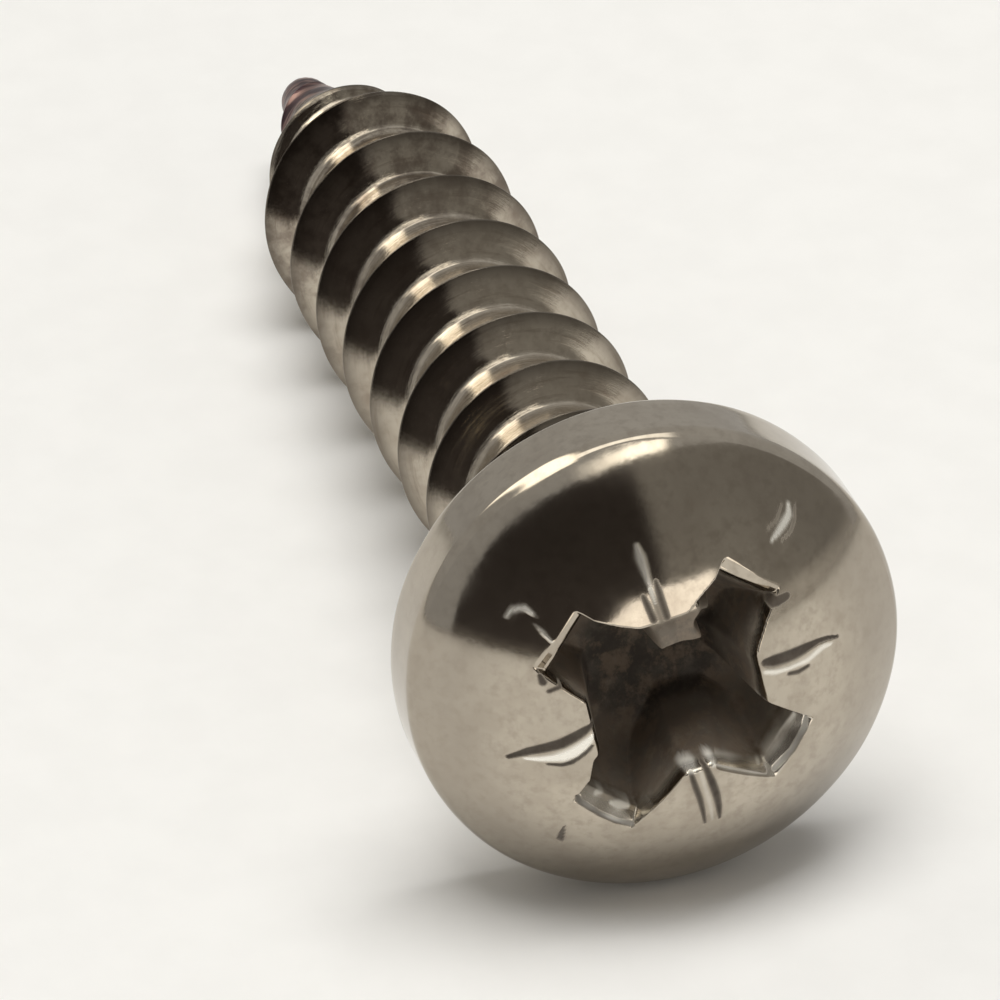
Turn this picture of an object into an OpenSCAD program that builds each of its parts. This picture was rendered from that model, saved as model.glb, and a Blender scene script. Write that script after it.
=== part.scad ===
// Self-tapping screw: pan head, cross recess with tick marks, coarse right-hand thread, blunt gimlet point.
// Millimetres. The screw lies on the floor z = 0, head towards -X and point towards +X. It rests on the
// rim of its head and on its last full turn of thread, so its axis falls towards the point.
// In the screw's own frame the axis is +Z, the bearing face under the head is at 0, the point is at +Z,
// and its +X side is the one that lies on the floor.

/* [Head] */

// Diameter across the head
head_d = 7.9;            // [7.5:0.05:8.3]
// Height of the head, from the bearing face to the top of the dome as it was before the recess
head_h = 2.98;           // [2.86:0.02:3.1]
// Radius of the domed top
dome_r = 5.2;            // [5:0.1:5.8]
// Radius of the rounded corner between the dome and the side
corner_r = 0.32;         // [0.16:0.02:0.5]
// Radius of the rounded lower edge, round the bearing face
rim_r = 0.14;            // [0.06:0.01:0.24]
// Width and height of the cone that joins the shank to the bearing face
neck = 0.2;              // [0.16:0.01:0.26]

/* [Recess] */

// Distance across the ends of two opposite wings, at the dome
recess_m = 4.34;         // [4.1:0.02:4.6]
// Width of a wing at the dome
wing_w = 1.08;           // [0.96:0.02:1.2]
// Depth of a wing at its end, below the dome
wing_depth = 1.55;       // [1.3:0.05:1.65]
// Depth of the recess on the axis, below the top of the dome
recess_depth = 2.35;     // [2.15:0.05:2.4]
// Slope of a wing's end wall, from the axis
wing_end_deg = 24;       // [18:1:28]
// Draft of a wing's side walls
wing_side_deg = 4;       // [1:0.5:7]
// Distance from the axis to the flats between the wings, at the dome
core_flat = 1.28;        // [1.16:0.02:1.4]
// Slope of those flats, from the axis
core_deg = 10;           // [4:1:16]
// Turn of the wings about the axis
recess_turn = 34;        // [0:1:90]

/* [Tick marks] */

// Distance of the marks' outer ends from the axis
tick_out = 2.76;         // [2.5:0.02:2.9]
// Width of a mark at the dome
tick_w = 0.2;            // [0.16:0.02:0.3]
// Depth of a mark below the dome
tick_h = 0.09;           // [0.06:0.01:0.14]

/* [Thread] */

// Diameter over the thread's crests
thread_d = 4.2;          // [4.04:0.02:4.24]
// Diameter of the core between the turns
core_d = 3;              // [2.8:0.05:3.2]
// Distance along the axis from one turn to the next
pitch = 1.86;            // [1.76:0.02:1.96]
// Width of the crest
crest_w = 0.1;           // [0.06:0.01:0.16]
// Angle between the two flanks
flank_deg = 60;          // [52:1:64]
// Share of the thread's height that is the rounded foot of a flank
foot = 0.12;             // [0.08:0.01:0.2]
// Length from the bearing face to the end of the point
length = 21.2;           // [20.8:0.1:21.8]
// Distance from the bearing face at which the thread has run out
runout_a = 1.7;          // [1.65:0.05:1.9]
// Distance from the bearing face at which the thread reaches its full height
full_a = 2.8;            // [2.7:0.1:3.1]
// A place on the axis that a crest passes on the side that lies on the floor
crest_a = 15.55;         // [15.45:0.05:15.6]

/* [Point] */

// Length over which the crests taper
cone_l = 4.8;            // [4.6:0.05:5.2]
// Length over which the core tapers
core_cone_l = 4.4;       // [4:0.1:4.8]
// Diameter of the core at the blunt end
tip_d = 0.64;            // [0.5:0.02:0.8]
// Height of the thread at the blunt end
tip_h = 0.1;             // [0.06:0.01:0.16]
// Length of the rounding at the blunt end
tip_l = 0.14;            // [0.08:0.01:0.2]

/* [Place] */

// Distance from the bearing face's centre to the middle of the screw's length, along the floor
middle_a = 9.07;         // [8.9:0.01:9.2]

/* [Output] */

// Which sub-part to draw

/* [Hidden] */

// Facets round the shank, and the depth to which the shank is sunk in the head.
segs = 48;
sunk = 0.4;

head_r = head_d / 2;
thread_r = thread_d / 2;
core_r = core_d / 2;
tip_r = tip_d / 2;
flank_t = tan(flank_deg / 2);

// Head: centres of the dome and of the corner's circle, as [radius, distance along the axis].
dome_c = dome_r - head_h;
corner_x = head_r - corner_r;
corner_z = dome_c - sqrt((dome_r - corner_r) ^ 2 - corner_x ^ 2);
corner_deg = atan2(corner_x, dome_c - corner_z);

// Recess: the dome's height at a radius, and the depths of the wings' floor and of the centre.
function dome_z(r) = dome_c - sqrt(dome_r ^ 2 - r ^ 2);
over = -head_h - 0.3;
wing_z = dome_z(recess_m / 2);
floor_z = wing_z + wing_depth;
low_z = recess_depth - head_h;

// Thread: height of the thread and radii of crest and core at a point a of the axis.
function fade(a) = min(1, max(0, (a - runout_a) / (full_a - runout_a)));
function root_r(a) = min(core_r, tip_r + (length - a) * (core_r - tip_r) / core_cone_l);
function peak_r(a) = min(thread_r, tip_r + tip_h + (length - a) * (thread_r - tip_r - tip_h) / cone_l);
function high(a) = fade(a) * (peak_r(a) - root_r(a));

// One turn's profile as [share of the height, side of the crest, share of the flank, foot lengths beyond].
rows = [[0, -1, 1, 1], [foot, -1, 1, 0], [1, -1, 0, 0], [1, 1, 0, 0], [foot, 1, 1, 0], [0, 1, 1, 1]];
m = len(rows);
first_a = crest_a - ceil((crest_a + pitch) / pitch + 1) * pitch;
turns = ceil((length - first_a) / pitch) + 2;
neck_a = neck + 0.12;
end_a = length - tip_l;

// A row's place on the axis: row q of all turns, at facet i.
function mid_a(q, i) = first_a + pitch * (floor(q / m) + (i + 0.5) / segs);
function row_a(q, i) = let (w = rows[q % m], h = max(0.14, high(mid_a(q, i))))
    mid_a(q, i) + w[1] * (crest_w / 2 + w[2] * (1 - foot) * h * flank_t + w[3] * 2.2 * foot * h);
function row_r(q, a) = root_r(a) + rows[q % m][0] * high(a);

// Points on rings of constant place first, then the rows that follow the helix.
rings = [[core_r + neck + sunk, -sunk], [core_r + 0.3 * neck, 0.45 * neck_a], [core_r, neck_a],
         [tip_r, end_a], [0.6 * tip_r, length]];
nr = len(rings);
function spot(r, a, i) = let (t = 360 * (i + 0.5) / segs) [r * cos(t), r * sin(t), a];
points = concat(
    [for (g = rings) for (i = [0 : segs - 1]) spot(g[0], g[1], i)],
    [for (q = [0 : m * turns - 1]) for (i = [0 : segs - 1])
        let (a = min(end_a, max(neck_a, row_a(q, i)))) spot(row_r(q, a), a, i)],
    [[0, 0, -sunk], [0, 0, length]]);

// Index of the point of row q at facet i. Rows that would pass a ring end on it.
function at(q, i) = i == segs ? at(q + m, 0)
    : q >= m * turns ? 3 * segs + i
    : row_a(q, i) < neck_a + 0.06 ? 2 * segs + i
    : row_a(q, i) > end_a - 0.04 ? 3 * segs + i
    : (nr + q) * segs + i;
function quad(p, q, s, t) = [for (f = [[p, q, s], [p, s, t]])
    if (f[0] != f[1] && f[1] != f[2] && f[2] != f[0]) f];
function band(g, h) = [for (i = [0 : segs - 1]) let (j = (i + 1) % segs)
    each quad(g * segs + i, h * segs + i, h * segs + j, g * segs + j)];
centre = (nr + m * turns) * segs;
faces = concat(
    [for (i = [0 : segs - 1]) [centre, i, (i + 1) % segs]],
    band(0, 1), band(1, 2),
    [for (q = [0 : m * turns - 2]) for (i = [0 : segs - 1])
        each quad(at(q, i), at(q + 1, i), at(q + 1, i + 1), at(q, i + 1))],
    band(3, 4),
    [for (i = [0 : segs - 1]) [centre + 1, 4 * segs + (i + 1) % segs, 4 * segs + i]]);

// How the screw lies: the angle at which rim and crest both meet the floor, found in three steps.
reach = crest_a + crest_w / 2 + rim_r;
drop = head_r - rim_r - thread_r * cos(180 / segs);
lie_0 = atan(drop / reach);
lie_1 = atan((drop + rim_r / cos(lie_0)) / reach);
lie = atan((drop + rim_r / cos(lie_1)) / reach);
lift = (head_r - rim_r) * cos(lie) - rim_r * sin(lie) + rim_r;

// A four-sided block from height z0, where it is x0 by y0 from the centre, to z1, where it is x1 by y1.
module block(z0, x0, y0, z1, x1, y1) {
    polyhedron(
        [[-x0, -y0, z0], [x0, -y0, z0], [x0, y0, z0], [-x0, y0, z0],
         [-x1, -y1, z1], [x1, -y1, z1], [x1, y1, z1], [-x1, y1, z1]],
        [[0, 1, 2, 3], [4, 7, 6, 5], [0, 4, 5, 1], [1, 5, 6, 2], [2, 6, 7, 3], [3, 7, 4, 0]]);
}

// Head as turned, before the recess.
module blank() {
    rotate_extrude($fn = 96)
        polygon(concat(
            [[0, 0]],
            [for (t = [0 : 30 : 90]) [head_r - rim_r + rim_r * sin(t), -rim_r + rim_r * cos(t)]],
            [for (n = [0 : 5]) let (t = 90 - n * (90 - corner_deg) / 5)
                [corner_x + corner_r * sin(t), corner_z - corner_r * cos(t)]],
            [for (n = [1 : 8]) let (t = corner_deg * (1 - n / 8))
                [dome_r * sin(t), dome_c - dome_r * cos(t)]]));
}

// Two opposite wings, with the shallow floor that falls to the centre.
module wings() {
    e = tan(wing_end_deg);
    s = tan(wing_side_deg);
    w0 = wing_w / 2 + (wing_z - over) * s;
    w1 = wing_w / 2 - wing_depth * s;
    block(over, recess_m / 2 + (wing_z - over) * e, w0, floor_z, recess_m / 2 - wing_depth * e, w1);
    block(floor_z - 0.02, recess_m / 2 - wing_depth * e, w1 - 0.01, low_z, 0.3, 0.5 * w1);
}

// The square core between the wings.
module core() {
    c = tan(core_deg);
    z = dome_z(core_flat);
    c0 = core_flat + (z - over) * c;
    c1 = core_flat - (floor_z - z) * c;
    block(over, c0, c0, floor_z, c1, c1);
    block(floor_z - 0.02, c1 - 0.02, c1 - 0.02, low_z - 0.03, 0.28, 0.28);
}

// One mark: a V-shaped groove that follows the dome.
module tick() {
    d = 0.3;
    k = tick_w / 2 / tick_h * d;
    stops = [for (n = [0 : 3]) 0.8 + n * (tick_out - 0.8) / 3];
    pts = [for (r = stops) let (z = dome_z(r) + tick_h) each [[r, 0, z], [r, -k, z - d], [r, k, z - d]]];
    walls = [for (n = [0 : 2]) for (s = [0 : 2]) let (p = 3 * n + s, q = 3 * n + (s + 1) % 3)
        [p, p + 3, q + 3, q]];
    polyhedron(pts, concat([[0, 1, 2]], walls, [[9, 11, 10]]));
}

module head() {
    difference() {
        blank();
        rotate([0, 0, recess_turn]) {
            wings();
            rotate([0, 0, 90]) wings();
            rotate([0, 0, 45]) core();
            for (t = [45 : 90 : 315]) rotate([0, 0, t]) tick();
        }
    }
}

module shank() {
    polyhedron(points, faces);
}

module screw() {
    color([0.72, 0.69, 0.64])
        translate([-middle_a, 0, lift])
            rotate([0, 90 + lie, 0])
                union() {
                    head();
                    shank();
                }
}

screw();
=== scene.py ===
"""Self-tapping screw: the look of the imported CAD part. Sizes in millimetres until a mesh is placed."""

import math

import bmesh
import bpy
import numpy as np
from mathutils import Matrix, Vector


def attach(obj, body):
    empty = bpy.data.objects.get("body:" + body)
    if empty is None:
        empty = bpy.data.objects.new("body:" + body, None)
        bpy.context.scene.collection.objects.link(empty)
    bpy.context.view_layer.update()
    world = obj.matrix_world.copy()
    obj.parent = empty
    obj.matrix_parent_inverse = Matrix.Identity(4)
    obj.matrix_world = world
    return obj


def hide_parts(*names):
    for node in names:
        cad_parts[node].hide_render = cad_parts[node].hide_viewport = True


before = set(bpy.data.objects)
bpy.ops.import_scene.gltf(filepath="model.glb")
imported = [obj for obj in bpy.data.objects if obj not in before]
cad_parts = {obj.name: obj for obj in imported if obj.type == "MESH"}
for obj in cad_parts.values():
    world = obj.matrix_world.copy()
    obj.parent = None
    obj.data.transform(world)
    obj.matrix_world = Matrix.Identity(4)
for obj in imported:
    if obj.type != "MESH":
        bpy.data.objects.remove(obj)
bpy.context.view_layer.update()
MM = 0.001

# ---------------------------------------------------------------- sizes, the same as in the CAD part
HEAD_R, HEAD_H, DOME_R, CORNER_R, RIM_R = 3.95, 2.98, 5.2, 0.32, 0.14
RECESS_M, WING_DEPTH, RECESS_DEPTH, CORE_FLAT = 4.34, 1.55, 2.35, 1.28
WING_END, WING_SIDE, CORE_DEG, RECESS_TURN = 24.0, 4.0, 10.0, 34.0
THREAD_R, CORE_R, PITCH, FLANK = 2.1, 1.5, 1.86, 30.0
LENGTH, RUNOUT_A, FULL_A, CREST_A = 21.2, 1.7, 2.8, 15.55
CONE_L, CORE_CONE_L, TIP_R, TIP_H, TIP_L, NECK = 4.8, 4.4, 0.32, 0.1, 0.14, 0.2
MIDDLE_A, LIE, LIFT = 9.07, 6.7231, 3.9074

# Centres of the dome and of the corner's circle, and the angle at which the one passes into the other.
DOME_C = DOME_R - HEAD_H
CORNER_X = HEAD_R - CORNER_R
CORNER_Z = DOME_C - math.sqrt((DOME_R - CORNER_R) ** 2 - CORNER_X ** 2)
CORNER_ANG = math.atan2(CORNER_X, DOME_C - CORNER_Z)

# How far the plain surfaces stay inside the CAD's, which leaves room for their unevenness.
INSET = 0.004


def tand(a):
    return math.tan(math.radians(a))


def place(x, y, z):
    """Points of the screw's own frame (axis +Z, floor side +X) to the row frame, in metres."""
    t = math.radians(90 + LIE)
    c, s = math.cos(t), math.sin(t)
    return np.stack([c * x + s * z - MIDDLE_A, y, -s * x + c * z + LIFT], -1) * MM


def smin(a, b, k):
    """The lesser of two, blended over the width k."""
    h = np.clip(0.5 + 0.5 * (b - a) / k, 0, 1)
    return b * (1 - h) + a * h - k * h * (1 - h)


def smax(a, b, k):
    return -smin(-a, -b, k)


def step(a, b, x):
    """Smooth step from 0 at a to 1 at b."""
    t = np.clip((x - a) / (b - a), 0, 1)
    return t * t * (3 - 2 * t)


def waves(p, q, seed, n=7, low=0.8, high=3.0):
    """Soft irregular waves over two coordinates, between about -1 and 1, the same on each run."""
    rng = np.random.RandomState(seed)
    out = 0 * p
    for _ in range(n):
        k = rng.uniform(low, high)
        a, ph = rng.uniform(0, 2 * math.pi, 2)
        out = out + np.sin(k * (p * math.cos(a) + q * math.sin(a)) + ph) * rng.uniform(0.4, 1)
    return out / (0.7 * n) * 1.4


def make(name, verts, faces, floats):
    """A smooth-shaded object with one float attribute for each key of floats."""
    me = bpy.data.meshes.new(name)
    me.from_pydata([tuple(v) for v in verts], [], faces)
    me.validate()
    for key, vals in floats.items():
        at = me.attributes.new(key, "FLOAT", "POINT")
        at.data.foreach_set("value", np.asarray(vals, np.float32))
    me.polygons.foreach_set("use_smooth", [True] * len(me.polygons))
    me.update()
    ob = bpy.data.objects.new(name, me)
    bpy.context.scene.collection.objects.link(ob)
    return ob


def band(r0, r1):
    """Quads between two closed rings of points."""
    return np.stack([r0, r1, np.roll(r1, -1), np.roll(r0, -1)], -1)


# ---------------------------------------------------------------- head
# The head's top is a height over (u, v), with u and v along the wings of the recess.
WING_Z = DOME_C - math.sqrt(DOME_R ** 2 - (RECESS_M / 2) ** 2)
FLOOR_Z = WING_Z + WING_DEPTH
LOW_Z = RECESS_DEPTH - HEAD_H
CORE_Z = DOME_C - math.sqrt(DOME_R ** 2 - CORE_FLAT ** 2)

GRID_HALF, DOME_RINGS = 2.46, 26            # half the width of the grid over the recess, rings round it
DOME_WAVE, WALL_WAVE = 0.006, 0.045         # unevenness of the dome and of the recess's walls
FLOOR_FLAT, FLOOR_OUT = 0.25, 1.48          # radii between which the recess's floor rises,
FLOOR_RUN = 1.18                            # and the run over which it rises by its full height
LIP, FLOOR_BLEND, WING_BLEND = 0.38, 0.5, 0.2   # widths over which the recess's surfaces round into others
GENTLE_A, GENTLE_FROM, GENTLE_SLOPE = 2.19, 1.93, 1.1   # the gentle ends of the two lower wings
STRUCK_DRAFT = 3.2                          # drop per width of the wing wall that was pushed out
BEVEL_A, BEVEL_SLOPE, BEVEL_H = 2.29, 0.9, 0.14     # the bevelled ends of the two upper wings
GROOVE, RAISED = 0.028, 0.012               # depth of a dark mark, height of a bared one
CORNER_STEPS, SIDE_STEPS, RIM_STEPS = 10, 6, 6
FACE_RINGS = (3.3, 2.6, 2.0)                # radii of the rings on the bearing face

# Depths below the dome over which something sets in, or ends.
WAVE_IN, MARK_OUT, BRIGHT_MARK_OUT, DULL_IN = (0.2, 0.6), (0.15, 0.4), (0.28, 0.5), (0.12, 0.5)
DUST_AND_LIGHT_IN, SIDE_IN, SCUFF_IN, SCUFF_OUT = (0.1, 0.3), (0.2, 0.5), (0.01, 0.06), (0.28, 0.45)
# The same for radii, for places along a wing and for the height over the recess's floor.
OUTER_IN, DEEP_OUT, RIM_IN = (0.9, 1.6), (1.0, 1.5), (2.4, 3.5)
WING_END_IN, BEVEL_IN, FLOOR_NEAR = (1.55, 2.1), (1.8, 1.9), (0.12, 0.5)

# Marks struck, scratched or torn into the head. Each: direction of its frame, kind, strength, and the line as
# (place along the direction, place across, half width). Kinds: "cut" for a dark groove, dirty and darkened
# with painted shade; the dark kind without relief, for dirty torn edges and painted shade along grooves; the
# bright kind, for bared metal, raised a little, with a painted highlight.
MARKS = [
    # tick between the two upper wings: a bright stroke of painted highlight, dark lines of painted shade
    (135, "bare", 0.55, [(2.66, -0.03, 0.04), (2.5, -0.035, 0.08), (2.2, -0.03, 0.055),
        (2.0, -0.026, 0.035), (1.8, -0.02, 0.01)]),
    (135, "soil", 0.13, [(2.04, -0.03, 0.03), (1.8, -0.02, 0.05), (1.5, 0.0, 0.05)]),
    (135, "soil", 0.36, [(2.12, 0.088, 0.03), (2.0, 0.085, 0.045), (1.85, 0.083, 0.052),
        (1.58, 0.092, 0.05)]),
    (135, "cut", 0.2, [(2.05, 0.086, 0.015), (1.85, 0.083, 0.032), (1.6, 0.092, 0.032)]),
    (135, "soil", 0.36, [(1.97, -0.165, 0.03), (1.85, -0.145, 0.045), (1.6, -0.115, 0.05)]),
    (135, "cut", 0.2, [(1.92, -0.155, 0.015), (1.8, -0.138, 0.03), (1.62, -0.118, 0.032)]),
    # tick at the left: a dark groove with painted shade, a bright lens of painted highlight
    (45, "cut", 0.95, [(2.72, -0.205, 0.03), (2.42, -0.12, 0.055), (2.17, -0.085, 0.065),
        (1.94, -0.045, 0.07), (1.73, 0.042, 0.065), (1.54, 0.136, 0.05), (1.42, 0.2, 0.03)]),
    (45, "bare", 1.0, [(2.5, -0.25, 0.02), (2.3, -0.28, 0.04), (2.1, -0.29, 0.06), (1.95, -0.28, 0.085),
        (1.8, -0.23, 0.09), (1.66, -0.15, 0.08), (1.54, -0.06, 0.06), (1.46, 0.02, 0.03)]),
    (45, "cut", 0.45, [(2.2, -0.39, 0.02), (2.0, -0.435, 0.03), (1.86, -0.41, 0.035), (1.7, -0.32, 0.03),
        (1.56, -0.22, 0.03), (1.5, -0.16, 0.02)]),
    # tick at the right: a dark groove with painted shade, a bright strip of painted highlight
    (225, "cut", 0.85, [(1.4, -0.29, 0.05), (1.54, -0.25, 0.075), (1.73, -0.206, 0.08),
        (1.89, -0.178, 0.08), (2.06, -0.163, 0.07), (2.22, -0.152, 0.05), (2.35, -0.14, 0.035),
        (2.51, -0.09, 0.03), (2.68, 0.0, 0.02)]),
    (225, "bare", 0.6, [(1.37, -0.137, 0.04), (1.53, -0.055, 0.045), (1.75, 0.0, 0.035), (1.9, 0.02, 0.035),
        (2.09, 0.05, 0.045), (2.27, 0.012, 0.05), (2.4, -0.005, 0.05), (2.55, 0.04, 0.02)]),
    (225, "cut", 0.35, [(1.74, 0.095, 0.03), (1.9, 0.15, 0.04), (2.08, 0.15, 0.03)]),
    # tick at the bottom, with burrs that lean into the recess: dark grooves with painted shade, and painted
    # glints on the burrs
    (315, "cut", 0.4, [(1.13, 0.14, 0.035), (1.41, 0.109, 0.045), (1.72, 0.067, 0.045), (2.0, 0.049, 0.035),
        (2.32, 0.038, 0.02)]),
    (315, "cut", 0.5, [(1.05, -0.09, 0.03), (1.19, -0.122, 0.045), (1.46, -0.166, 0.055),
        (1.74, -0.201, 0.055), (2.02, -0.214, 0.045), (2.32, -0.205, 0.02)]),
    (315, "bare", 0.25, [(1.1, -0.01, 0.03), (1.55, -0.047, 0.035), (2.0, -0.084, 0.03),
        (2.3, -0.085, 0.015)]),
    (0, "bare", 0.7, [(0.90, -0.56, 0.07), (0.80, -0.70, 0.08)]),
    (0, "bare", 0.7, [(0.58, -0.90, 0.07), (0.60, -0.98, 0.06)]),
    # gouge near the rim: a painted highlight in it, painted shade along its sides
    (0, "bare", 0.9, [(-3.35, -0.17, 0.03), (-3.28, -0.21, 0.05), (-3.21, -0.23, 0.065),
        (-3.1, -0.19, 0.07), (-2.95, -0.13, 0.055), (-2.83, -0.07, 0.03)]),
    (0, "cut", 0.12, [(-3.3, -0.07, 0.03), (-3.09, -0.05, 0.035), (-2.92, 0.06, 0.03)]),
    (0, "cut", 0.17, [(-3.37, -0.3, 0.02), (-3.18, -0.36, 0.035), (-3.03, -0.35, 0.035),
        (-2.87, -0.24, 0.02)]),
    # hook-shaped mark and its scratch, and a speck
    (0, "bare", 0.8, [(0.1, 2.99, 0.03), (0.0, 3.0, 0.04), (-0.08, 2.97, 0.05), (-0.19, 2.87, 0.05),
        (-0.17, 2.73, 0.035)]),
    (0, "bare", 0.6, [(-0.05, 2.62, 0.02), (-0.02, 2.5, 0.04), (0.03, 2.33, 0.02)]),
    (0, "cut", 0.9, [(3.0, 0.15, 0.045), (2.95, 0.19, 0.04), (2.75, 0.3, 0.012)]),
    # torn corners of the two upper wings
    (0, "soil", 1.0, [(-2.02, -0.43, 0.06), (-2.09, -0.53, 0.065), (-2.2, -0.65, 0.05)]),
    (0, "soil", 0.8, [(0.6, 2.2, 0.03), (0.66, 2.12, 0.05)]),
    (0, "soil", 0.4, [(0.74, 1.97, 0.03), (0.58, 1.88, 0.03)]),
    # ends of the two lower wings: dark outer line of painted shade, bright broken inner edge of painted
    # highlight
    (0, "cut", 0.6, [(2.1, 0.56, 0.03), (2.19, 0.42, 0.035), (2.23, 0.04, 0.035), (2.23, -0.29, 0.035),
        (2.18, -0.55, 0.03)]),
    (0, "cut", 0.5, [(0.42, -2.14, 0.03), (0.0, -2.21, 0.035), (-0.4, -2.19, 0.035), (-0.58, -2.12, 0.02)]),
    (0, "bare", 0.8, [(2.0, 0.22, 0.04), (1.93, 0.14, 0.07), (1.88, 0.1, 0.03)]),
    (0, "bare", 0.9, [(2.03, -0.08, 0.03), (2.01, -0.22, 0.07), (1.97, -0.38, 0.05)]),
    (0, "bare", 0.7, [(0.42, -1.86, 0.06), (0.25, -1.92, 0.03), (-0.2, -1.96, 0.03), (-0.5, -1.97, 0.03)]),
]
# Half widths of the wings' two sides, as struck: (place along the wing, half width).
FLARES = {
    "u-v+": [(1.27, 0.76), (1.63, 0.68), (2.0, 0.57), (2.2, 0.54)],
    "u-v-": [(1.1, 0.60), (1.4, 0.51), (1.8, 0.46)],
    "u+v+": [(1.4, 0.73), (1.73, 0.57), (2.1, 0.54)],
    "u+v-": [(1.5, 0.60), (2.1, 0.57)],
    "v+u-": [(1.25, 0.82), (1.6, 0.67), (1.95, 0.56), (2.2, 0.54)],
    "v+u+": [(1.3, 0.57), (2.1, 0.55)],
    "v-u-": [(1.2, 0.60), (2.1, 0.60)],
    "v-u+": [(1.1, 0.51), (2.1, 0.49)],
}
# Burrs that lean into the recess at the lower tick: place, radius and height.
BURRS = [(0.82, -0.62, 0.13, -0.10), (0.56, -0.88, 0.11, -0.10)]


def struck(u, v, kind):
    """How strongly the marks of one kind reach each point."""
    out = 0 * u
    for deg, k, strength, line in MARKS:
        if k != kind:
            continue
        c, s = math.cos(math.radians(deg)), math.sin(math.radians(deg))
        pts = [(al * c - ac * s, al * s + ac * c, w) for al, ac, w in line]
        for (u0, v0, w0), (u1, v1, w1) in zip(pts, pts[1:]):
            du, dv = u1 - u0, v1 - v0
            t = np.clip(((u - u0) * du + (v - v0) * dv) / (du * du + dv * dv), 0, 1)
            d = np.hypot(u - u0 - t * du, v - v0 - t * dv)
            out = np.maximum(out, strength * np.exp(-(d / (w0 + t * (w1 - w0))) ** 3))
    return out


def wing(axis, u, v, lower):
    """Floor of the two wings along one axis; lower is the sign of the one with the gentle end."""
    p, q, other = (u, v, "v") if axis == "u" else (v, u, "u")
    a, b = np.abs(p), np.abs(q)
    half = 0 * a
    for sign, on_p in (("-", p < 0), ("+", p >= 0)):
        for side, on_q in (("-", q < 0), ("+", q >= 0)):
            flare = np.interp(a, *zip(*FLARES[axis + sign + other + side]))
            half = np.where(on_p & on_q, flare, half)
    end = WING_Z + (RECESS_M / 2 - a) / tand(WING_END)
    gentle = WING_Z + (GENTLE_A - a) * GENTLE_SLOPE + 0.04 * waves(u * 3, v * 3, 17, 9, 1.0, 4.0)
    end = np.where((p * lower > 0) & (a > GENTLE_FROM), np.minimum(end, gentle), end)
    steep = np.where((axis == "v") & (p < 0) & (q > 0), STRUCK_DRAFT, 1 / tand(WING_SIDE))
    return smin(end, WING_Z + (half - b) * steep, 0.3)


def head_top(u, v):
    """Place of the head's top along the axis and of the dome alone, and masks: dark marks with dirt and
    painted shade, bright bared marks with painted highlights, the clean facet, and the painted shade at the
    recess's centre.
    """
    zd = DOME_C - np.sqrt(np.maximum(DOME_R ** 2 - u * u - v * v, 1e-6))
    zd = zd + DOME_WAVE * waves(u, v, 3, 9, 0.8, 2.4)
    r = np.hypot(u, v)
    rise = FLOOR_OUT - smax(np.minimum(r, FLOOR_OUT), FLOOR_FLAT + 0 * r, 0.3)
    low = FLOOR_Z + rise * (LOW_Z - FLOOR_Z) / FLOOR_RUN

    # p and q run across and along the flats between the wings.
    p, q = (v - u) / math.sqrt(2), (u + v) / math.sqrt(2)
    flats = smin(CORE_FLAT + 0.01 - np.abs(p - 0.2), CORE_FLAT + 0.07 - np.abs(q - 0.07), 0.1)
    core = CORE_Z + flats / tand(CORE_DEG)
    cut = smax(wing("u", u, v, 1), wing("v", u, v, -1), WING_BLEND)
    cut = smin(smax(cut, core, WING_BLEND), low, FLOOR_BLEND)
    cut = cut + WALL_WAVE * waves(u * 2.6, v * 2.6, 23, 11, 0.8, 3.6) * step(*WAVE_IN, cut - zd)
    z = smax(zd, cut, LIP)
    # Bevels at the ends of the two upper wings.
    for a, b, mid, half in ((-u, v, 0.06, 0.52), (v, u, -0.01, 0.55)):
        on = (1 - step(half - 0.03, half + 0.02, np.abs(b - mid))) * step(*BEVEL_IN, a)
        bevel = zd + np.minimum(BEVEL_SLOPE * (BEVEL_A + 0.03 * np.sin(3 * b) - a), BEVEL_H)
        z = z + on * np.maximum(bevel - z, 0)
    # Light facet where a wing was struck over the edge of the core.
    on = step(-0.85, -0.6, q + 0.14 * waves(u * 4, v * 4, 61)) * (1 - step(0.08, 0.3, q))
    on = on * step(0.90, 1.06, p + 0.1 * waves(u * 4, v * 4, 62))
    clean = on * (1 - step(1.42, 1.55, p))
    facet = np.minimum(z, zd + 0.08 + 0.32 * np.maximum(1.47 - p, 0))
    z = np.where(z > zd + 0.04, z + on * (facet - z), z)
    for bu, bv, rb, h in BURRS:
        z = z + h * np.exp(-((u - bu) ** 2 + (v - bv) ** 2) / rb ** 2) * (z < zd + 0.5)
    # Dark marks: grooves, dirty and darkened with painted shade. Bright marks: bared metal, raised a little,
    # with painted highlights.
    on = 1 - step(*MARK_OUT, z - zd)
    dark = on * struck(u, v, "cut")
    bare = (1 - step(*BRIGHT_MARK_OUT, z - zd)) * np.minimum(1.25 * struck(u, v, "bare"), 1)
    bare = bare * (1 - 0.8 * dark)
    z = z + GROOVE * dark - RAISED * bare
    # Painted shade: the recess's floor is darker near its centre.
    deep = (1 - step(*FLOOR_NEAR, low - z)) * (1 - step(*DEEP_OUT, r))
    return z, zd, np.maximum(dark, on * struck(u, v, "soil")), bare, clean, deep


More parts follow.
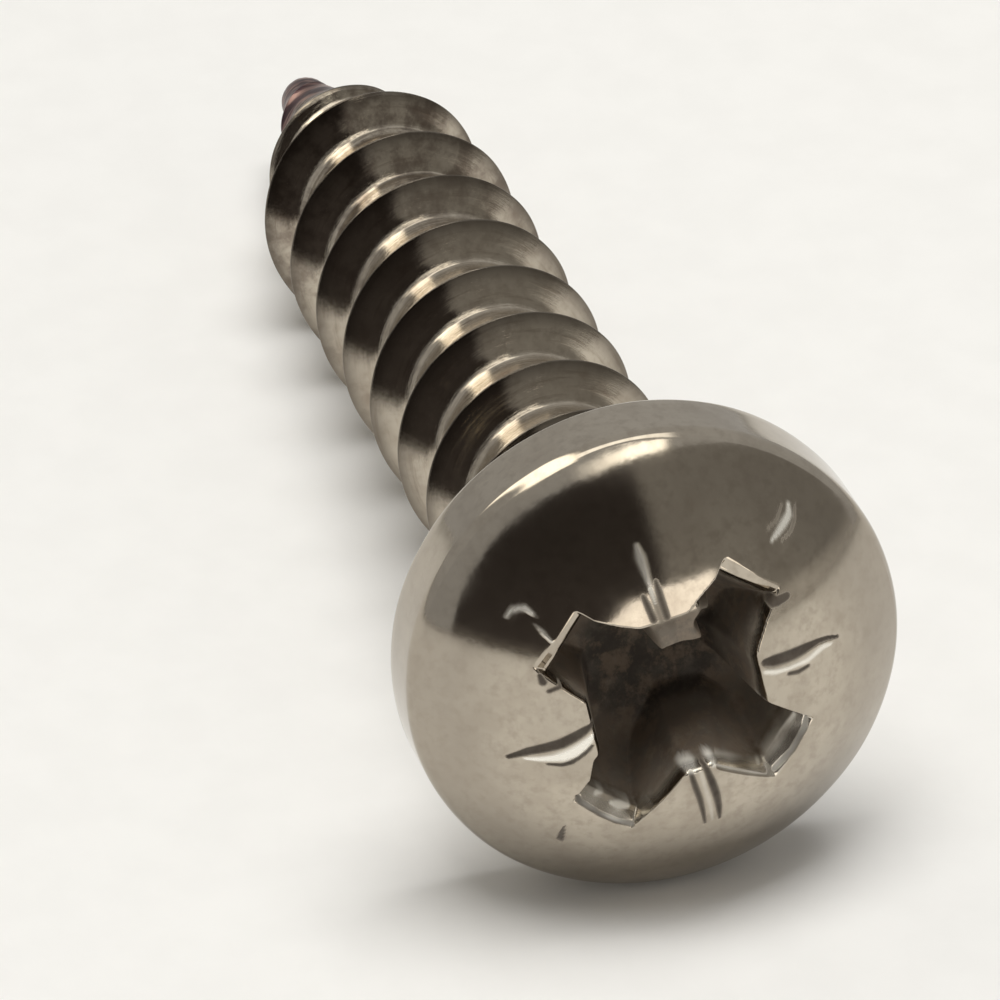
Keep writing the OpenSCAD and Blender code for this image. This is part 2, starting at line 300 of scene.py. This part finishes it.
def head_coats(u, v):
    """Height of the head's top, and how dirty, dusty, dull, bared and scuffed each point of it is, with
    painted shade in the dark marks and at the recess's centre, painted light on the recess's walls and towards
    the wings' ends, and painted highlights in the bright marks.
    """
    z, zd, soot_and_shade, worn, clean, deep = head_top(u, v)
    below = z - zd
    # Dirt fills the core and the lower walls; the upper part of the wings' end walls stays cleaner.
    far = step(*WING_END_IN, np.maximum(np.abs(u), np.abs(v)))
    edge = below + 0.12 * waves(u * 2.2, v * 2.2, 8, 9, 0.8, 3.0)
    dirt = step(0.1 + 0.2 * far, 0.6 + 0.75 * far, edge)
    dull = step(*DULL_IN, below)
    # Painted light, partly dusty: the recess is paler towards the wings' ends.
    outer_dust_and_light = step(*OUTER_IN, np.hypot(u, v)) * np.where(u < -0.9, 0.25, 0.8)
    outer_dust_and_light = outer_dust_and_light * (1 + 0.2 * waves(u * 4, v * 4, 55, 9, 0.8, 3.5))
    # Painted light on the recess's walls at mid depth, away from its centre.
    painted_wall_light = 0.3 * step(*SIDE_IN, below) * (1 - deep)
    painted_wall_light = painted_wall_light * (1 + 0.5 * waves(u * 3, v * 3, 71, 9, 0.8, 3.5))
    dust = np.clip(outer_dust_and_light, 0, 1) * step(*DUST_AND_LIGHT_IN, below)
    dust = np.maximum(dust, np.maximum(0.8 * clean, np.clip(painted_wall_light, 0, 1)))
    dirt = np.maximum(dirt * (1 - 0.3 * dust), 0.8 * clean)
    # The dark marks darken it too: dirty, and painted shade of their grooves.
    dirt = np.clip(np.maximum(dirt, np.minimum(3 * soot_and_shade, 1)), 0, 1)
    # The lower wings' gentle ends are scuffed.
    ends = np.maximum((u > 1.7) * (np.abs(v) < 0.66), (v < -1.0) * (np.abs(u) < 0.66))
    ends = step(*SCUFF_IN, below) * (1 - step(*SCUFF_OUT, below)) * ends
    scuff = np.clip(0.3 + 0.3 * waves(u * 5, v * 5, 41, 9, 1.0, 4.0), 0, 0.6)
    worn = np.maximum(worn, ends * scuff)
    return z, {"dirt": dirt, "dust": dust, "deep": deep, "dull": dull, "worn": worn}


def axis_lines():
    """Grid lines from 0 to the patch's edge, closer where walls and edges stand."""
    stretches = [(0, 0.36, 18), (0.36, 0.66, 20), (0.66, 1.3, 25), (1.3, 2.04, 29), (2.04, 2.3, 14),
                 (2.3, GRID_HALF, 5)]
    half = np.concatenate([np.linspace(a, b, n, endpoint=False) for a, b, n in stretches])
    return np.concatenate([-half[:0:-1], half])


def head_profile():
    """Corner, side, rim and bearing face, as (radius, place along the axis)."""
    prof = []
    for i in range(1, CORNER_STEPS + 1):
        t = CORNER_ANG + (math.pi / 2 - CORNER_ANG) * i / CORNER_STEPS
        prof.append((CORNER_X + CORNER_R * math.sin(t), CORNER_Z - CORNER_R * math.cos(t)))
    for i in range(1, SIDE_STEPS + 1):
        prof.append((HEAD_R, CORNER_Z + (-RIM_R - CORNER_Z) * i / SIDE_STEPS))
    for i in range(1, RIM_STEPS + 1):
        t = math.pi / 2 * i / RIM_STEPS
        prof.append((HEAD_R - RIM_R + RIM_R * math.cos(t), -RIM_R + RIM_R * math.sin(t)))
    prof += [(r, 0.0) for r in FACE_RINGS]
    prof += [(CORE_R + NECK - 0.02, 0.0), (CORE_R - 0.1, 0.02)]
    return np.array(prof)


def build_head():
    """A square grid over the recess, rings that pass from it to the dome's edge, then rings down the side."""
    ax = axis_lines()
    n = len(ax)
    grid_u, grid_v = np.meshgrid(ax, ax, indexing="ij")
    idx = np.arange(n * n).reshape(n, n)
    a, b, c, d = idx[:-1, :-1], idx[1:, :-1], idx[1:, 1:], idx[:-1, 1:]
    faces = np.stack([a, d, c, b], -1).reshape(-1, 4).tolist()
    border = np.concatenate([idx[:-1, 0], idx[-1, :-1], idx[:0:-1, -1], idx[0, :0:-1]])
    m = len(border)
    bu, bv = grid_u.ravel()[border], grid_v.ravel()[border]
    ang = np.arctan2(bv, bu)
    dome_edge = DOME_R * math.sin(CORNER_ANG)
    us, vs = [grid_u.ravel()], [grid_v.ravel()]
    for i in range(1, DOME_RINGS + 1):
        t = i / DOME_RINGS
        t = t * (1.25 - 0.25 * t)
        us.append(bu + (dome_edge * np.cos(ang) - bu) * t)
        vs.append(bv + (dome_edge * np.sin(ang) - bv) * t)
    u, v = np.concatenate(us), np.concatenate(vs)
    z, coats = head_coats(u, v)
    prof = head_profile()
    r, down = prof[:, :1], prof[:, 1]
    wobble = 0.004 * np.sin(3 * ang + 1) * (r > 3.6) + 0.0025 * np.sin(11 * ang)
    X = np.concatenate([u, ((r + wobble - INSET) * np.cos(ang)).ravel()])
    Y = np.concatenate([v, ((r + wobble - INSET) * np.sin(ang)).ravel()])
    Z = np.concatenate([z, np.repeat(down, m)])
    floats = {key: np.concatenate([vals, np.zeros(m * len(prof))]) for key, vals in coats.items()}
    # Painted shade in a ring near the dome's edge, stronger on some sides, and on the head's side, weaker
    # towards 135 degrees.
    rim = step(*RIM_IN, np.hypot(u, v))
    rim = rim * (0.55 + 0.45 * np.abs(np.sin(np.arctan2(v, u) + math.radians(RECESS_TURN))))
    side = 1 - 0.6 * np.maximum(np.cos(ang - math.radians(135)), 0) ** 2
    floats["rim"] = np.concatenate([rim, np.tile(side, len(prof))])
    rings = [border] + [n * n + k * m + np.arange(m) for k in range(DOME_RINGS + len(prof))]
    for r0, r1 in zip(rings[:-1], rings[1:]):
        faces += band(r0, r1)[:, ::-1].tolist()
    t = math.radians(RECESS_TURN)
    x, y = X * math.cos(t) - Y * math.sin(t), X * math.sin(t) + Y * math.cos(t)
    return make("screw_head", place(x, y, Z), faces, floats)


# ---------------------------------------------------------------- threaded shank
SEGS = 160                                  # facets round the shank
CREST_HALF, FLANK_SHARE = 0.022, 0.88       # half the crest's flat, share of the height on the flank
CREST_DROP = 0.03                           # share of the height lost over the crest's flat
ROOT_DROP, ROOT_OUT = 0.08, (15.5, 17.5)    # how much lower the root is rolled, and where that ends
ROUGH_IN = (10, 16.5)                       # the thread gets rougher over this stretch
LAST_CREST, LAST_CREST_IN = 0.6, (18.2, 19.3)   # share of the crest that is lost before the nub
NUB_R, NUB_A, NUB_L, PINCH_IN = 0.45, 20.72, 0.52, (20.15, 20.6)
BEND, BEND_IN = (-0.07, 0.20), (18.9, 20.4)
FIRST_A, LAST_A = 0.33, LENGTH - TIP_L      # ends of the threaded surface
NEAR = 1e-9                                 # what lies closer to an end than this lies on it


def fade(a):
    return np.clip((a - RUNOUT_A) / (FULL_A - RUNOUT_A), 0, 1)


def root_r(a):
    return np.minimum(CORE_R, TIP_R + (LENGTH - a) * (CORE_R - TIP_R) / CORE_CONE_L)


def peak_r(a):
    return np.minimum(THREAD_R, TIP_R + TIP_H + (LENGTH - a) * (THREAD_R - TIP_R - TIP_H) / CONE_L)


def thread_surface():
    """Rows of points that follow the helix: places, masks, and the number of rows in a turn and of turns."""
    # Half a turn's profile: a narrow crest, a straight flank, then a long hollow down to the root.
    stations = [("c", x) for x in (0.0, 0.5, 1.0)] + [("f", x) for x in (0.33, 0.67, 1.0)]
    stations += [("r", x) for x in (0.06, 0.12, 0.19, 0.27, 0.36, 0.47, 0.6, 0.75, 0.9)]
    rows = [(-1, k, x) for k, x in stations[::-1]] + [(1, k, x) for k, x in stations[1:]]
    m = len(rows)
    first = CREST_A - math.ceil((CREST_A + PITCH) / PITCH + 1) * PITCH
    turns = int(math.ceil((LENGTH - first) / PITCH)) + 2
    row, facet = np.meshgrid(np.arange(m * (turns + 1)), np.arange(SEGS), indexing="ij")
    wound = row // m + facet / SEGS
    mid = first + PITCH * wound
    high = np.maximum(0.1, fade(mid) * (peak_r(mid) - root_r(mid)))
    side, kind, s = (np.array([w[k] for w in rows])[row % m] for k in range(3))
    crest, flank = kind == "c", kind == "f"
    flank_w = FLANK_SHARE * high * tand(FLANK)
    rest = np.maximum(0.05, PITCH / 2 - CREST_HALF - flank_w)
    power = np.minimum(9, rest / ((1 - FLANK_SHARE) * high * tand(FLANK)))
    off = np.where(flank, CREST_HALF + s * flank_w, CREST_HALF + flank_w + s * rest)
    off = np.where(crest, s * CREST_HALF, off)
    hollow = np.where(side < 0, 0.04 * (1 - s) ** power + (0.96 - FLANK_SHARE) * (1 - s),
                      (1 - FLANK_SHARE) * (1 - s) ** power)
    share = np.where(flank, 1 - CREST_DROP - s * (FLANK_SHARE - CREST_DROP), hollow)
    share = np.where(crest, 1 - CREST_DROP * s ** 2, share)
    # Rolled thread: slight waver of the crest, ripples along the flanks, more towards the point.
    phase = 2 * math.pi * wound
    a = mid + side * off
    far = step(*ROUGH_IN, a)
    rough = 0.3 + 0.7 * far
    across = side * np.where(crest, 0.3 * s, np.where(flank, 0.3 + s, 1.3 + 2 * s))
    ripple = waves(phase * 2.2, across * 1.6, 11, 9, 0.6, 3.2)
    streak = waves(phase * 0.9, across * 4.5, 5, 9, 0.8, 2.6)
    a = a + (0.010 * rough + 0.008 * far) * ripple
    root = root_r(a) - ROOT_DROP * fade(a) * (1 - step(*ROOT_OUT, a))
    rad = root + share * fade(a) * (peak_r(a) - root) * (1 - LAST_CREST * step(*LAST_CREST_IN, a))
    # The last bit is a plain rounded nub, where the blank was pinched off.
    nub = NUB_R * np.sqrt(1 - (np.clip(a - NUB_A, 0, 0.4) / NUB_L) ** 2)
    pinch = step(*PINCH_IN, a)
    rad = rad + pinch * (nub - rad)
    dents = 0.006 * rough * waves(phase * 4.1, across * 1.5, 21, 9, 0.6, 4.0) + 0.022 * far * streak
    rad = rad + dents * (share < 0.96) * (1 - 0.7 * pinch)
    rad = rad - INSET - 0.008 * rough * crest * (1 + waves(phase * 5.0, 0 * s, 31, 9, 0.8, 4.0))
    # Crests and the tops of the flanks, for the painted shade along the crests.
    edge = np.where(crest, 1.0, np.where(flank & (s < 0.4), 0.3, 0.0)) * (fade(a) > 0.02)
    a = np.clip(a, FIRST_A, LAST_A)
    rad = np.where(a <= FIRST_A + NEAR, CORE_R, rad)
    rad = np.where(a >= LAST_A - NEAR, TIP_R, rad)
    ang = 2 * math.pi * facet / SEGS
    verts = np.stack([rad * np.cos(ang), rad * np.sin(ang), a], -1).reshape(-1, 3)
    return verts, {"edge": edge, "wrap": phase, "across": across}, m, turns


def thread_faces(verts, m, turns):
    """Quads between the rows; row m of one turn is row 0 of the next."""
    def at(row, facet):
        return np.where(facet == SEGS, (row + m) * SEGS, row * SEGS + facet)

    row, facet = np.meshgrid(np.arange(m * turns - 1), np.arange(SEGS), indexing="ij")
    corners = [at(row, facet), at(row + 1, facet), at(row + 1, facet + 1), at(row, facet + 1)]
    quads = np.stack(corners, -1).reshape(-1, 4)
    # Faces that lie wholly on an end ring have no area and go.
    low_end, high_end = verts[:, 2] <= FIRST_A + NEAR, verts[:, 2] >= LAST_A - NEAR
    keep = ~(low_end[quads].all(1) | high_end[quads].all(1))
    return quads[keep].tolist()


def build_shank():
    verts, coats, m, turns = thread_surface()
    faces = thread_faces(verts, m, turns)
    threaded = len(verts)
    ang = 2 * math.pi * np.arange(SEGS) / SEGS
    neck = [(0, FIRST_A), (0.02, 0.2), (0.07, 0.1), (0.16, 0.01), (0.26, -0.08)]
    neck = [(CORE_R + out, z) for out, z in neck]
    tip = [(TIP_R, LAST_A), (0.93 * TIP_R, LENGTH - 0.07), (0.7 * TIP_R, LENGTH - 0.015),
           (0.35 * TIP_R, LENGTH - INSET)]
    circles = [np.stack([r * np.cos(ang), r * np.sin(ang), 0 * ang + z], -1) for r, z in neck + tip]
    P = np.concatenate([verts, *circles, [[0, 0, LENGTH - INSET]]])
    rings = [threaded + k * SEGS + np.arange(SEGS) for k in range(len(circles))]
    for k in range(len(neck) - 1):
        faces += band(rings[k], rings[k + 1])[:, [0, 3, 2, 1]].tolist()
    for k in range(len(neck), len(rings) - 1):
        faces += band(rings[k], rings[k + 1]).tolist()
    last, centre = rings[-1], len(P) - 1
    faces += np.stack([last, 0 * last + centre, np.roll(last, -1)], -1).tolist()
    # The pinched-off point sits a little to one side.
    t = step(*BEND_IN, P[:, 2])
    pts = place(P[:, 0] + BEND[0] * t, P[:, 1] + BEND[1] * t, P[:, 2])
    floats = {"tip": step(LENGTH - 2.0, LENGTH - 1.5, P[:, 2]), "along": P[:, 2]}
    for key, vals in coats.items():
        floats[key] = np.concatenate([vals.ravel(), np.zeros(len(P) - threaded)])
    ob = make("screw_shank", pts, faces, floats)
    # Points that fall together at the ends are joined, and what has no area goes.
    bm = bmesh.new()
    bm.from_mesh(ob.data)
    bmesh.ops.remove_doubles(bm, verts=bm.verts, dist=1e-8)
    bmesh.ops.dissolve_degenerate(bm, edges=bm.edges, dist=1e-8)
    loose = [v for v in bm.verts if not v.link_faces]
    bmesh.ops.delete(bm, geom=loose, context="VERTS")
    bmesh.ops.recalc_face_normals(bm, faces=bm.faces)
    for f in bm.faces:
        f.smooth = True
    bm.to_mesh(ob.data)
    bm.free()
    return ob


# ---------------------------------------------------------------- materials
# Colours, linear; a pair is the two ends of a mottled tone.
STEEL, GRAIN = ((0.48, 0.428, 0.355), (0.54, 0.482, 0.40)), (0.36, 0.31, 0.25)
# The crests' tone is painted shade, a dark line along each turn.
DRAG, SPOT, CREST_SHADE_TONE = (0.27, 0.22, 0.17), (0.26, 0.20, 0.15), (0.10, 0.085, 0.07)
STAIN = (0.12, 0.085, 0.068)
POINT = (0.045, 0.022, 0.032), (0.25, 0.155, 0.14)
# The first is painted shade near the dome's edge; the last is bared metal with painted highlights.
RIM_SHADE_TONE, WALL_TONE, BARE_AND_HIGHLIGHT_TONE = (0.33, 0.293, 0.248), (0.17, 0.13, 0.095), (0.97, 0.94, 0.86)
# Dirty tone, also for the dark marks' painted shade; paler tone, partly dusty and partly painted light;
# painted shade at the recess's centre; crusts, older and paler.
SOIL_AND_SHADE_TONE, DUST_AND_LIGHT_TONE, DEEP_SHADE_TONE, CRUST = (0.05, 0.037, 0.027), (0.24, 0.19, 0.145), (0.014, 0.01, 0.007), (0.15, 0.108, 0.074)
PAPER = (0.87, 0.862, 0.84), (0.89, 0.882, 0.86)
# Scales of the noises, per metre, and heights of the grain, in metres.
CLOUDS, MOTTLE, FINE, BLOTCH, CRUSTS, FIBRE = 420.0, 1500.0, 4800.0, 2600.0, 1900.0, 900.0
THREAD_BUMP, HEAD_BUMP = 0.0000034, 0.0000022


class Tree:
    """Builds the nodes of a material or world; each method returns an output socket or the node."""

    def __init__(self, owner):
        owner.use_nodes = True
        self.nt = owner.node_tree
        self.nt.nodes.clear()

    def link(self, a, b):
        self.nt.links.new(a, b)

    def node(self, kind, links=None, **props):
        """A node; props that start with i_ set its inputs, the others its own settings."""
        n = self.nt.nodes.new(kind)
        for k, v in props.items():
            if k.startswith("i_"):
                n.inputs[k[2:]].default_value = v
            else:
                setattr(n, k, v)
        for k, v in (links or {}).items():
            self.link(v, n.inputs[k])
        return n

    def feed(self, socket, x):
        """Give a socket a number, a colour or another socket."""
        if isinstance(x, (int, float)):
            socket.default_value = x
        elif isinstance(x, tuple):
            socket.default_value = (*x, 1.0)
        else:
            self.link(x, socket)

    def math(self, op, a, b, clamp=False):
        n = self.node("ShaderNodeMath", operation=op, use_clamp=clamp)
        self.feed(n.inputs[0], a)
        self.feed(n.inputs[1], b)
        return n.outputs[0]

    def times(self, *values):
        out = values[0]
        for x in values[1:]:
            out = self.math("MULTIPLY", out, x)
        return out

    def plus(self, *values):
        out = values[0]
        for x in values[1:]:
            out = self.math("ADD", out, x)
        return out

    def minus(self, a, b, clamp=False):
        return self.math("SUBTRACT", a, b, clamp)

    def ramp(self, x, a, b, lo=0.0, hi=1.0):
        """Smooth step of x from lo at a to hi at b."""
        n = self.node("ShaderNodeMapRange", {"Value": x}, interpolation_type="SMOOTHSTEP")
        for k, v in (("From Min", a), ("From Max", b), ("To Min", lo), ("To Max", hi)):
            n.inputs[k].default_value = v
        return n.outputs["Result"]

    def mix(self, fac, a, b):
        n = self.node("ShaderNodeMix", data_type="RGBA")
        self.feed(next(s for s in n.inputs if s.name == "Factor" and s.type == "VALUE"), fac)
        self.feed(next(s for s in n.inputs if s.name == "A" and s.type == "RGBA"), a)
        self.feed(next(s for s in n.inputs if s.name == "B" and s.type == "RGBA"), b)
        return next(s for s in n.outputs if s.type == "RGBA")

    def attr(self, key):
        return self.node("ShaderNodeAttribute", attribute_name=key).outputs["Fac"]

    def noise(self, vec, scale, detail=4.0, rough=0.6):
        n = self.node("ShaderNodeTexNoise", {"Vector": vec}, i_Scale=scale, i_Detail=detail, i_Roughness=rough)
        return n.outputs["Fac"]

    def place(self, kind="Object"):
        return self.node("ShaderNodeTexCoord").outputs[kind]

    def vector(self, x, y):
        return self.node("ShaderNodeCombineXYZ", {"X": x, "Y": y}).outputs[0]


def thread_coat(t, tone, co, mid, fine):
    """Drag marks along the thread, stained last turns, painted shade along the crests and the pinched point.
    """
    wrap, along, tip = t.attr("wrap"), t.attr("along"), t.attr("tip")
    drag = t.noise(t.vector(t.times(wrap, 1.6), t.times(t.attr("across"), 6.0)), 1.0, 6.0, 0.65)
    tone = t.mix(t.ramp(drag, 0.5, 0.72, 0.0, 0.6), tone, DRAG)
    tone = t.mix(t.ramp(mid, 0.6, 0.75, 0.0, 0.5), tone, SPOT)
    turned = t.vector(t.times(wrap, 0.5), t.times(along, 7.0))
    point = t.mix(t.ramp(t.noise(turned, 1.0, 3.0), 0.46, 0.58), *POINT)
    spread = t.times(t.ramp(along, 9.0, 15.5, 0.0, 0.62), t.ramp(along, 18.2, 18.9, 1.0, 0.0))
    patch = t.times(spread, t.ramp(t.noise(co, MOTTLE, 6.0, 0.7), 0.42, 0.62))
    tone = t.mix(patch, tone, STAIN)
    # Painted shade: a dark line along each crest.
    tone = t.mix(t.times(t.attr("edge"), 0.75), tone, CREST_SHADE_TONE)
    tone = t.mix(t.times(tip, 0.93), tone, point)
    rough = t.plus(t.ramp(drag, 0.3, 0.7, 0.04, 0.10), t.times(tip, 0.3))
    height = t.plus(t.times(drag, 1.6), t.plus(mid, t.times(fine, 0.25)))
    return tone, rough, height


def head_coat(t, tone, co, big, mid, fine, metallic):
    """Dirt in the recess, with painted shade at its centre and painted light on its walls and towards the
    wings' ends; dark marks, dirty and with painted shade; bared metal with painted highlights; and painted
    shade in a ring near the dome's edge and on the head's side.
    """
    worn, dull = t.attr("worn"), t.attr("dull")
    # Painted shade near the dome's edge and on the head's side, cloudy.
    tone = t.mix(t.times(t.attr("rim"), t.ramp(big, 0.3, 0.7, 0.45, 0.8)), tone, RIM_SHADE_TONE)
    blotch = t.noise(co, BLOTCH, 5.0, 0.7)
    tone = t.mix(t.times(dull, t.ramp(blotch, 0.36, 0.62, 0.15, 0.85)), tone, WALL_TONE)
    # Dirty, with the dark marks' painted shade in it.
    dirt = t.times(t.attr("dirt"), t.ramp(blotch, 0.35, 0.7, 0.9, 1.0))
    # Paler where dusty, and as painted light on the recess's walls and towards the wings' ends.
    soil = t.mix(t.times(t.attr("dust"), t.ramp(blotch, 0.4, 0.6, 0.2, 1.0)), SOIL_AND_SHADE_TONE, DUST_AND_LIGHT_TONE)
    # Painted shade: darker at the centre of the recess's floor.
    soil = t.mix(t.times(t.attr("deep"), 0.65), soil, DEEP_SHADE_TONE)
    # Crusts of older, paler dirt, only where walls go down into the head.
    crust = t.times(dull, t.ramp(t.noise(co, CRUSTS, 6.0, 0.72), 0.47, 0.62, 0.0, 0.75))
    soil = t.mix(crust, soil, CRUST)
    tone = t.mix(t.times(dirt, 0.97), tone, soil)
    # Less metallic where dirty and where bared, so that the bright marks' painted highlights stay bright.
    t.link(t.minus(1.0, t.plus(t.times(dirt, 0.95), t.times(worn, 0.3)), True), metallic)
    # Bared metal, with painted highlights in the bright marks.
    tone = t.mix(worn, tone, BARE_AND_HIGHLIGHT_TONE)
    matt = t.math("MAXIMUM", t.ramp(dirt, 0.0, 0.5, 0.0, 0.68), t.times(dull, 0.55))
    rough = t.plus(t.ramp(mid, 0.3, 0.75, 0.075, 0.125), matt, t.times(worn, 0.15))
    return tone, rough, t.plus(mid, t.times(fine, 0.3))


def metal(name, thread=False):
    """Bright rolled steel: cloudy tone and fine grain under the coat of its piece."""
    mat = bpy.data.materials.new(name)
    t = Tree(mat)
    out = t.node("ShaderNodeOutputMaterial")
    bsdf = t.node("ShaderNodeBsdfPrincipled", i_Metallic=1.0)
    t.link(bsdf.outputs[0], out.inputs["Surface"])
    co = t.place()
    big, mid, fine = t.noise(co, CLOUDS, 5.0), t.noise(co, MOTTLE, 3.0), t.noise(co, FINE)
    tone = t.mix(t.ramp(big, 0.35, 0.65), *STEEL)
    tone = t.mix(t.ramp(fine, 0.42, 0.72, 0.0, 0.62), tone, GRAIN)
    tone = t.mix(t.ramp(mid, 0.38, 0.66, 0.0, 0.38), tone, GRAIN)
    if thread:
        tone, rough, height = thread_coat(t, tone, co, mid, fine)
        depth = THREAD_BUMP
    else:
        tone, rough, height = head_coat(t, tone, co, big, mid, fine, bsdf.inputs["Metallic"])
        depth = HEAD_BUMP
    t.link(tone, bsdf.inputs["Base Color"])
    t.link(rough, bsdf.inputs["Roughness"])
    bump = t.node("ShaderNodeBump", {"Height": height}, i_Strength=1.0, i_Distance=depth)
    t.link(bump.outputs[0], bsdf.inputs["Normal"])
    return mat


def floor_material():
    mat = bpy.data.materials.new("paper")
    t = Tree(mat)
    out = t.node("ShaderNodeOutputMaterial")
    bsdf = t.node("ShaderNodeBsdfPrincipled", i_Roughness=0.9)
    bsdf.inputs["Specular IOR Level"].default_value = 0.1
    grain = t.node("ShaderNodeTexNoise", {"Vector": t.place()}, i_Scale=FIBRE, i_Detail=4.0).outputs["Fac"]
    t.link(t.mix(t.ramp(grain, 0.3, 0.7), *PAPER), bsdf.inputs["Base Color"])
    t.link(bsdf.outputs[0], out.inputs["Surface"])
    return mat


# ---------------------------------------------------------------- light
TENT = (0.54, 0.535, 0.52), (0.475, 0.47, 0.455)
OPEN_GREY = (0.27, 0.258, 0.236), (0.52, 0.50, 0.46)
OPEN_DARK, OPEN_LOW = ((0.058, 0.050, 0.045), (0.042, 0.036, 0.032)), (0.17, 0.155, 0.138)
WINDOW, STRIP, ROOF, HIGH = (1.95, 1.85, 1.7), (3.2, 3.1, 2.8), (2.2, 2.15, 2.0), (3.1, 2.95, 2.6)
TENT_FILL, HIGH_FILL = 0.48, 0.3        # share of the tent and of its high light that dull surfaces get


def studio():
    """A pale tent with soft lights, open and darker towards -X, with a window low in the opening."""
    world = bpy.data.worlds.new("studio")
    bpy.context.scene.world = world
    t = Tree(world)
    out = t.node("ShaderNodeOutputWorld")
    bg = t.node("ShaderNodeBackground")
    t.link(bg.outputs[0], out.inputs["Surface"])
    x, y, z = t.node("ShaderNodeSeparateXYZ", {"Vector": t.place("Generated")}).outputs
    dull_ray = t.node("ShaderNodeLightPath").outputs["Is Diffuse Ray"]

    # Edge of the opening, which bends away on the right.
    right = t.math("MAXIMUM", t.times(y, -1.0), 0.0)
    edge = t.plus(t.times(right, 0.2), t.times(right, right, 0.19), t.ramp(y, 0.0, 0.15, -0.395, -0.42))
    over = t.minus(x, edge)
    inside = t.times(t.ramp(over, 0.01, -0.01), t.ramp(dull_ray, 0.0, 1.0, 1.0, 0.0))
    # Right part of the opening is a mid grey that pales towards the floor; the left part is dark.
    grey = t.mix(t.ramp(t.plus(z, t.plus(t.times(x, 0.13), 0.06)), 0.15, 0.05), *OPEN_GREY)
    dark = t.mix(t.ramp(z, 0.1, 0.7), *OPEN_DARK)
    dark = t.mix(t.ramp(z, 0.09, 0.0), dark, OPEN_LOW)
    left = t.ramp(t.minus(y, t.times(x, 0.2)), -0.06, 0.06)
    col = t.mix(inside, t.mix(t.ramp(y, -0.3, 0.6), *TENT), t.mix(left, grey, dark))
    # Window with a curved upper edge, low in the opening.
    top = t.math("MAXIMUM", y, 0.0)
    top = t.plus(t.math("MINIMUM", t.plus(0.36, t.times(y, -0.25)), 0.40), t.times(top, top, -2.6))
    window = t.times(t.ramp(t.minus(z, top), 0.015, -0.015), t.ramp(x, -0.72, -0.80), t.ramp(y, -0.50, -0.42))
    col = t.mix(t.times(window, t.ramp(z, -0.02, 0.02)), col, WINDOW)
    # Bright strip along the opening, light in the roof, and a high light towards +Y.
    strip = t.times(t.ramp(over, 0.0, 0.015), t.ramp(over, 0.10, 0.07), t.ramp(y, -0.34, -0.30),
                    t.ramp(y, 0.30, -0.10), t.ramp(z, 0.3, 0.5))
    col = t.mix(strip, col, STRIP)
    roof = t.times(t.ramp(x, -0.16, -0.12), t.ramp(x, 0.24, 0.16), t.ramp(y, -0.40, -0.32),
                   t.ramp(y, 0.26, 0.20), t.ramp(z, 0.55, 0.65))
    col = t.mix(roof, col, ROOF)
    high = t.times(t.ramp(x, -0.30, -0.24), t.ramp(x, 0.88, 0.78), t.ramp(y, 0.18, 0.26),
                   t.ramp(y, 0.60, 0.50), t.ramp(z, 0.28, 0.36))
    col = t.mix(t.times(high, t.ramp(dull_ray, 0.0, 1.0, 1.0, HIGH_FILL)), col, HIGH)
    t.link(col, bg.inputs["Color"])
    t.link(t.ramp(dull_ray, 0.0, 1.0, 1.0, TENT_FILL), bg.inputs["Strength"])


def lamp(name, at, size, power, colour):
    """Soft rectangular lamp that looks at the origin and doesn't show in the metal."""
    data = bpy.data.lights.new(name, "AREA")
    data.shape = "RECTANGLE"
    data.size, data.size_y = size
    data.energy = power
    data.color = colour
    ob = bpy.data.objects.new(name, data)
    ob.location = at
    ob.rotation_euler = (-Vector(at)).to_track_quat("-Z", "Y").to_euler()
    ob.visible_glossy = False
    bpy.context.scene.collection.objects.link(ob)


# ---------------------------------------------------------------- put together
head = build_head()
head.data.materials.append(metal("bright_steel"))
shank = build_shank()
shank.data.materials.append(metal("rolled_steel", thread=True))
for ob in (head, shank):
    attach(ob, "root")
    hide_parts("screw")

FLOOR_HALF = 3
me = bpy.data.meshes.new("floor")
corners = [(x * FLOOR_HALF, y * FLOOR_HALF, 0) for x, y in ((-1, -1), (1, -1), (1, 1), (-1, 1))]
me.from_pydata(corners, [], [(0, 1, 2, 3)])
floor = bpy.data.objects.new("floor", me)
bpy.context.scene.collection.objects.link(floor)
floor.data.materials.append(floor_material())

studio()
lamp("key", at=(-0.014, -0.006, 0.25), size=(0.22, 0.12), power=0.47, colour=(1.0, 0.995, 0.985))

cam_data = bpy.data.cameras.new("camera")
cam_data.sensor_width = 36.0
cam_data.lens = 297.74
cam_data.clip_start, cam_data.clip_end = 0.005, 20.0
cam = bpy.data.objects.new("camera", cam_data)
right = Vector((-0.258185, -0.966095, 0.00053))
up = Vector((0.534164, -0.142296, 0.833319))
back = -Vector((0.804990, -0.215433, -0.552792))
eye = Vector((-111.208, 29.497, 76.770)) * MM
cam.matrix_world = Matrix.Translation(eye) @ Matrix((right, up, back)).transposed().to_4x4()
bpy.context.scene.collection.objects.link(cam)
bpy.context.scene.camera = cam
bpy.context.scene.view_settings.view_transform = "Standard"
